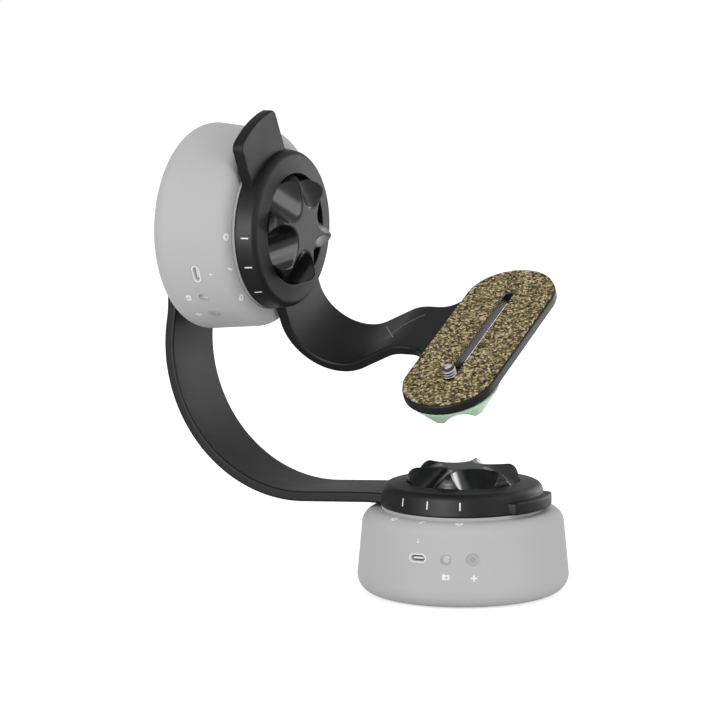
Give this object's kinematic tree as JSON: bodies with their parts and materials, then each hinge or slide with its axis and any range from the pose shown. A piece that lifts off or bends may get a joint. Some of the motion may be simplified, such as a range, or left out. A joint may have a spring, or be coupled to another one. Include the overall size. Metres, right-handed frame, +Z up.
{
  "type": "motorized pan tilt head",
  "caption": "Motorized pan and tilt camera head: two drum motors joined by a C-shaped arm, and an S-shaped arm with a slotted cork-faced camera plate.",
  "frame": {"origin": "centre of the tripod socket's mouth, on the face that the pan drum stands on", "axes": "+Z up along the pan axis; +X along the tilt axis, from the tilt drum towards the camera plate"},
  "size_m": [0.1892, 0.1122, 0.2075],
  "materials": {
    "drum": "light grey moulded plastic, satin",
    "arm": "black powder coat on cast aluminium, fine grain",
    "knob": "black plastic, glossy scoops and a satin star face",
    "steel": "turned steel",
    "brass": "machined brass",
    "rubber": "matte black rubber",
    "board": "green laminate",
    "battery": "blue film wrap",
    "socket": "white plastic",
    "jack": "grey plastic",
    "button": "grey plastic",
    "cork": "rubber-bonded cork, granular",
    "mint": "pale green translucent plastic"
  },
  "bodies": {
    "base": {"pan_shell": "drum", "pan_base_plate": "drum", "pan_cover_screws": "steel", "pan_tripod_bush": "steel", "pan_foot": "rubber", "pan_bearing": "brass", "pan_gear_motor": "steel", "pan_circuit_board": "board", "pan_battery": "battery", "pan_charging_socket": "socket", "pan_jack": "jack"},
    "pan_push_button": {"pan_button": "button"},
    "pan_pinion_shaft": {"pan_pinion": "steel"},
    "turret": {"pan_turntable": "drum", "pan_grip_ring": "rubber", "pan_stud": "steel", "pan_drive_gear": "brass", "pan_retaining_clip": "steel", "pan_arm": "arm", "tilt_mount_screw": "steel", "tilt_shell": "drum", "tilt_base_plate": "drum", "tilt_cover_screws": "steel", "tilt_tripod_bush": "steel", "tilt_foot": "rubber", "tilt_bearing": "brass", "tilt_gear_motor": "steel", "tilt_circuit_board": "board", "tilt_battery": "battery", "tilt_charging_socket": "socket", "tilt_jack": "jack"},
    "pan_clamp_knob": {"pan_knob": "knob", "pan_knob_insert": "brass"},
    "tilt_push_button": {"tilt_button": "button"},
    "tilt_pinion_shaft": {"tilt_pinion": "steel"},
    "cradle": {"tilt_turntable": "drum", "tilt_grip_ring": "rubber", "tilt_stud": "steel", "tilt_drive_gear": "brass", "tilt_retaining_clip": "steel", "camera_arm": "arm", "cork_pad": "cork"},
    "tilt_clamp_knob": {"tilt_knob": "knob", "tilt_knob_insert": "brass"},
    "camera_slider": {"camera_washer": "steel"},
    "camera_clamp": {"camera_screw": "steel", "camera_knob": "mint"}
  },
  "joints": [
    {"name": "pan_turn", "type": "hinge", "parent": "base", "child": "turret", "pos_m": [0, 0, 0.038], "axis": [0, 0, 1], "continuous": true},
    {"name": "pan_pinion_turn", "type": "hinge", "parent": "base", "child": "pan_pinion_shaft", "pos_m": [-0.00673, 0.02511, 0.019], "axis": [0, 0, 1], "continuous": true},
    {"name": "pan_button_press", "type": "slide", "parent": "base", "child": "pan_push_button", "axis": [-0.5299, 0.848, 0], "range_m": [0, 0.0006], "stiffness_N_per_m": 800},
    {"name": "pan_knob_turn", "type": "hinge", "parent": "turret", "child": "pan_clamp_knob", "pos_m": [0, 0, 0.05], "axis": [0, 0, 1], "continuous": true},
    {"name": "tilt_turn", "type": "hinge", "parent": "turret", "child": "cradle", "pos_m": [-0.09, 0, 0.1547], "axis": [1, 0, 0], "continuous": true},
    {"name": "tilt_pinion_turn", "type": "hinge", "parent": "turret", "child": "tilt_pinion_shaft", "pos_m": [-0.112, 0.0209, 0.17017], "axis": [1, 0, 0], "continuous": true},
    {"name": "tilt_button_press", "type": "slide", "parent": "turret", "child": "tilt_push_button", "axis": [0, 0.5948, 0.8039], "range_m": [0, 0.0006], "stiffness_N_per_m": 800},
    {"name": "tilt_knob_turn", "type": "hinge", "parent": "cradle", "child": "tilt_clamp_knob", "pos_m": [-0.08, 0, 0.1547], "axis": [1, 0, 0], "continuous": true},
    {"name": "camera_slide", "type": "slide", "parent": "cradle", "child": "camera_slider", "axis": [0, 0.893, 0.4501], "range_m": [0, 0.063]},
    {"name": "camera_knob_turn", "type": "hinge", "parent": "camera_slider", "child": "camera_clamp", "pos_m": [0, -0.00846, 0.08884], "axis": [0, -0.4501, 0.893], "continuous": true}
  ],
  "couplings": [
    {"joint": "pan_pinion_turn", "follows": "pan_turn", "ratio": -3.3333},
    {"joint": "tilt_pinion_turn", "follows": "tilt_turn", "ratio": -3.3333}
  ]
}
